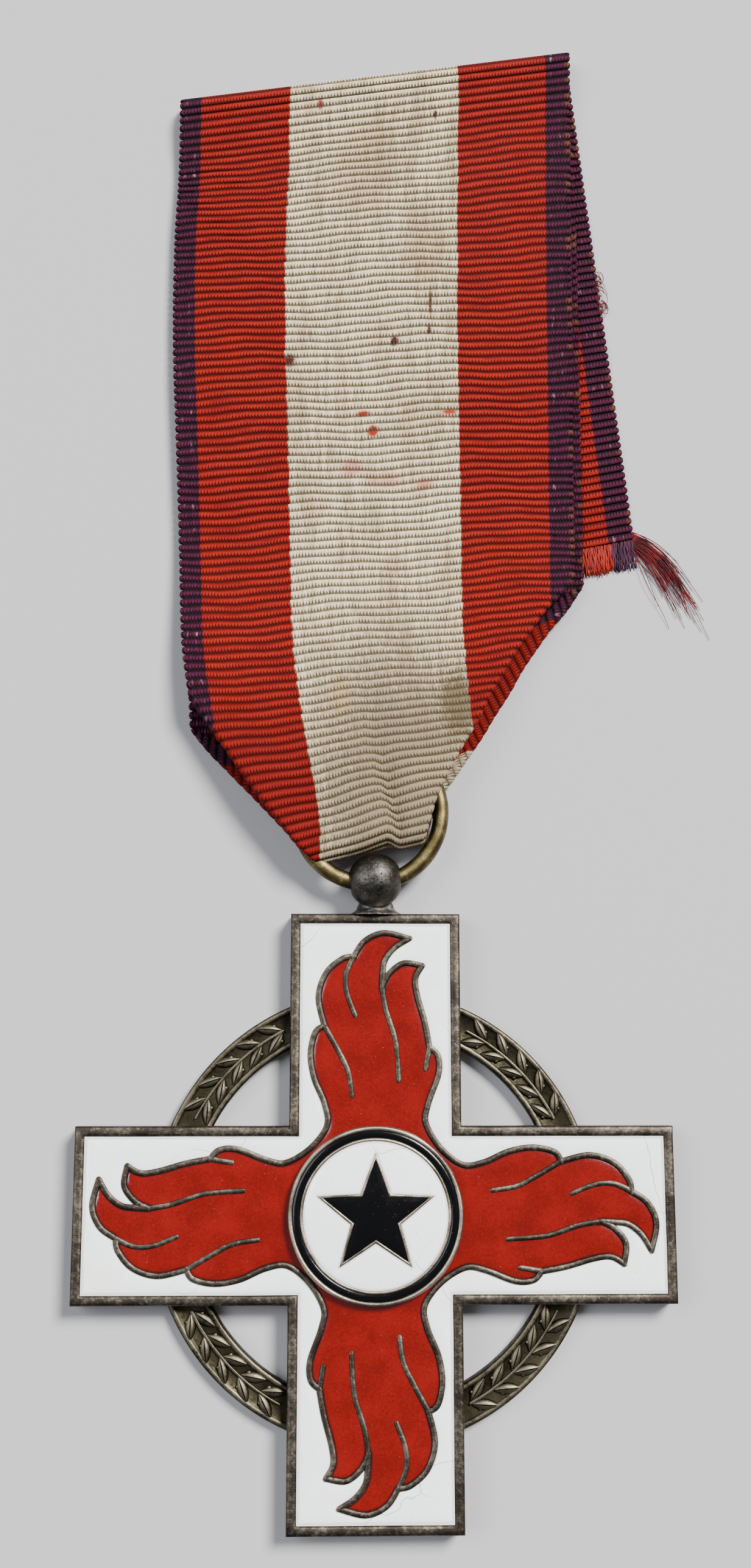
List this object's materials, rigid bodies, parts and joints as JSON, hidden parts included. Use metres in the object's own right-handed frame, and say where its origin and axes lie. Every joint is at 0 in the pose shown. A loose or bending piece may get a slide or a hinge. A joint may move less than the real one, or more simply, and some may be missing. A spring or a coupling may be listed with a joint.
{
  "type": "enamelled cross medal",
  "caption": "Enamelled cross medal with flames, laurel band and star medallion, hung by a ring from a folded striped ribbon, lying flat.",
  "frame": {"origin": "centre of the cross on its flat back", "axes": "+Z out of the enamelled face, +Y from the cross towards the ribbon, +X to the right seen from the front"},
  "size_m": [0.0434, 0.1151, 0.0041],
  "materials": {
    "dark_silver": "darkened silvered bronze, worn bright on raised edges",
    "band_metal": "tarnished silvered bronze with yellowish bare patches",
    "ball_metal": "dark grey polished metal with fine pits",
    "ring_brass": "aged brass wire, scratched",
    "solder": "dull grey soft solder",
    "white_enamel": "glossy cool white enamel with pits and hairlines",
    "red_enamel": "glossy speckled red enamel",
    "black_enamel": "glossy black enamel",
    "ribbon_cloth": "ribbed woven ribbon, red with a cream middle and violet edges, stained and frayed at the cut end"
  },
  "bodies": {
    "cross": {"cross_body": "dark_silver", "laurel_band": "band_metal", "enamel_white_field": "white_enamel", "enamel_red_flames": "red_enamel", "medallion_solder": "solder", "medallion_base": "dark_silver", "medallion_black_ring": "black_enamel", "medallion_white_disc": "white_enamel", "medallion_star": "black_enamel", "suspension_ball": "ball_metal", "ball_solder": "solder"},
    "ring": {"suspension_ring": "ring_brass", "ribbon_loop": "ribbon_cloth"},
    "ribbon": {"ribbon_front": "ribbon_cloth", "ribbon_return": "ribbon_cloth"},
    "tail": {"ribbon_tail": "ribbon_cloth"}
  },
  "joints": [
    {"name": "ring_swing", "type": "hinge", "parent": "cross", "child": "ring", "pos_m": [0, 0.02425, 0.00205], "axis": [0.9962, 0.0872, 0], "range_deg": [-90, 90]},
    {"name": "ribbon_swing", "type": "hinge", "parent": "ring", "child": "ribbon", "pos_m": [0, 0.03695, 0.00205], "axis": [1, 0, 0], "range_deg": [-85, 85]},
    {"name": "tail_fold", "type": "hinge", "parent": "ribbon", "child": "tail", "pos_m": [0, 0.08992, 0.0012], "axis": [0.9882, 0.153, 0], "range_deg": [0, 180]}
  ]
}
